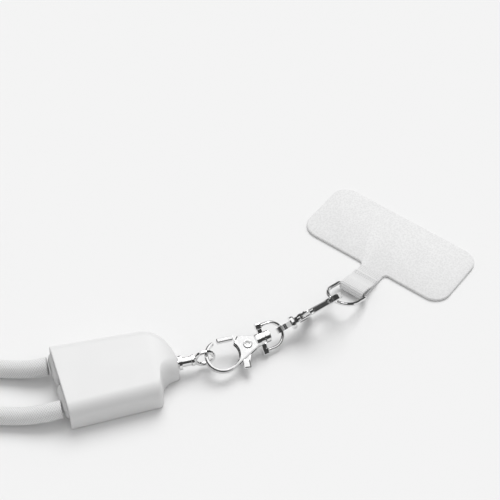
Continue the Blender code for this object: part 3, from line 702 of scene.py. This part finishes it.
def build_patch(cloth):
    """The thin coated patch with a pressed edge."""
    outline = patch_outline()
    dense = []
    for i, point in enumerate(outline):
        after = outline[(i + 1) % len(outline)]
        pieces = max(1, round(math.dist(point, after) / (0.9 * MM)))
        dense += [tuple(Vector(point).lerp(Vector(after), k / pieces)) for k in range(pieces)]
    edge = (
        (0.5, 0.02),
        (0.12, 0.1),
        (0.0, 0.3),
        (0.0, 0.65),
        (0.12, 0.88),
        (0.4, 1.0),
    )
    rings = []
    for inset, height in edge:
        ring = inset_outline(dense, inset * MM)
        rings.append([(x, y, CLOTH_THICKNESS * height) for x, y in ring])
    patch = skinned("tether_patch", rings)
    patch.data.materials.append(cloth)
    patch.matrix_world = tab_frame()
    return patch


def build_tongue(webbing):
    """The woven tape that is folded round the ring's bar and sewn down on itself."""
    ply = CLOTH_THICKNESS
    knots = [(TONGUE_LENGTH + 1.2 * MM, 0.5 * ply), (10.0 * MM, 0.5 * ply), (6.0 * MM, 0.5 * ply)]
    knots += [(2.2 * MM, 0.5 * ply)]
    knots += arc((0, FOLD_HEIGHT), FOLD_RADIUS, -math.pi / 2 - 0.1, -math.pi * 1.5 + 0.15, 8)
    knots += [(2.6 * MM, 2.95 * MM), (4.6 * MM, 1.95 * MM), (6.4 * MM, 1.52 * MM), (8.4 * MM, 1.5 * MM)]
    route, length = smooth_route([(x, z, 0.0) for x, z in knots], 0.16 * MM)
    half_width, half_ply, r = TONGUE_WIDTH / 2, 0.45 * ply, 0.34 * MM
    corners = (((half_width - r), (half_ply - r), 0), (-(half_width - r), (half_ply - r), 1))
    corners += ((-(half_width - r), -(half_ply - r), 2), ((half_width - r), -(half_ply - r), 3))
    section = []
    for y, n, quarter in corners:
        section += arc((y, n), r, math.pi / 2 * quarter, math.pi / 2 * (quarter + 1), 4)
    rings = []
    for i, point in enumerate(route):
        way = (route[min(i + 1, len(route) - 1)] - route[max(i - 1, 0)]).normalized()
        out = (way.y, -way.x)
        rings.append([(point.x + out[0] * n, y, point.y + out[1] * n) for y, n in section])
    tongue = skinned("woven_tongue", rings)
    tongue.data.set_sharp_from_angle(angle=math.radians(50))
    layer = tongue.data.uv_layers.new(name="weave").data
    spacing = length / (len(route) - 1)
    for polygon in tongue.data.polygons:
        for corner, vertex in zip(polygon.loop_indices, polygon.vertices):
            across = tongue.data.vertices[vertex].co.y
            layer[corner].uv = (across, vertex // len(section) * spacing)
    tongue.data.materials.append(webbing)
    tongue.matrix_world = tab_frame()
    return tongue


def build_stitches(thread):
    """Two rows of stitches across the tongue, sunk a little into the tape."""
    data = bmesh.new()
    for back in (6.9 * MM, 7.7 * MM):
        for k in range(9):
            side = (k - 4) * 0.98 * MM
            shape = Matrix.Translation((back, side, 1.98 * MM)) @ Matrix.Diagonal((0.13, 0.38, 0.1, 1.0))
            bmesh.ops.create_uvsphere(
                data, u_segments=10, v_segments=6, radius=1.0 * MM, matrix=shape
            )
    stitches = mesh_object("tongue_stitches", data)
    stitches.data.shade_smooth()
    stitches.data.materials.append(thread)
    stitches.matrix_world = tab_frame()
    return stitches


def sewing_thread(nodes):
    """White twisted thread."""
    place = nodes.place()
    strands = nodes.noise(place, 6400.0, 2.0)
    return {
        "Base Color": nodes.blend(strands, grey(0.66), grey(0.82)),
        "Roughness": nodes.smooth_step(strands, 0.3, 0.7, 0.6, 0.8),
        "Normal": nodes.bump(strands, 0.3, 0.05 * MM),
    }


def build_tab(cloth):
    patch = build_patch(cloth)
    tongue = build_tongue(finish("tongue_webbing", tongue_webbing))
    stitches = build_stitches(finish("sewing_thread", sewing_thread))
    for piece in (patch, tongue, stitches):
        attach(piece, "lanyard")
        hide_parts("tether_tab")


def build_rivets(plating):
    """The spun heads of both rivets, on both cheeks of each clasp."""
    for name, (middle, pin) in RIVETS.items():
        for word, turn in (("upper", pin), ("lower", -pin)):
            rings = []
            for wide, high in RIVET_PROFILE:
                rim = arc((0.0, 0.0), RIVET_HEAD_RADIUS * wide, 0.0, math.tau, 32)[:-1]
                rings.append([(x, y, RIVET_HEAD_TOP * high) for x, y in rim])
            head = skinned(f"{name}_{word}_head", rings)
            head.data.set_sharp_from_angle(angle=math.radians(60))
            head.data.materials.append(plating)
            facing = turn.to_track_quat("Z", "Y").to_matrix().to_4x4()
            head.matrix_world = Matrix.Translation(middle * MM) @ facing
            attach(head, "lanyard")


def dress_node(frame, name, material, bevel=0.0, segments=2):
    """Gives a carried-over solid its finish and softly rounded edges."""
    node = frame["nodes"][name]
    node.data.materials.clear()
    node.data.materials.append(material)
    if bevel:
        modifier = node.modifiers.new("edges", "BEVEL")
        modifier.width = bevel
        modifier.segments = segments
        modifier.limit_method = "ANGLE"
        modifier.angle_limit = math.radians(32)
        modifier.harden_normals = True


def main():
    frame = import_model()
    set_camera()
    build_cord()
    set_light()
    lay_floor()
    plastic = finish("moulded_plastic", moulded_plastic)
    heads = finish("cable_head_plastic", cable_head_plastic)
    plating = finish("polished_plating", polished_plating)
    cloth = finish("tab_cloth", tab_cloth)
    build_housing(plastic)
    dress_node(frame, "far_cable_head", heads)
    dress_node(frame, "near_cable_head", heads)
    for name in ("swivel_stud", "first_clasp", "first_lever", "swivel_loop"):
        dress_node(frame, name, plating, 0.14 * MM)
    for name in ("second_clasp", "second_lever", "d_ring"):
        dress_node(frame, name, plating, 0.14 * MM)
    build_rivets(finish("rivet_plating_with_painted_shade", rivet_plating_with_painted_shade))
    build_tab(cloth)


main()
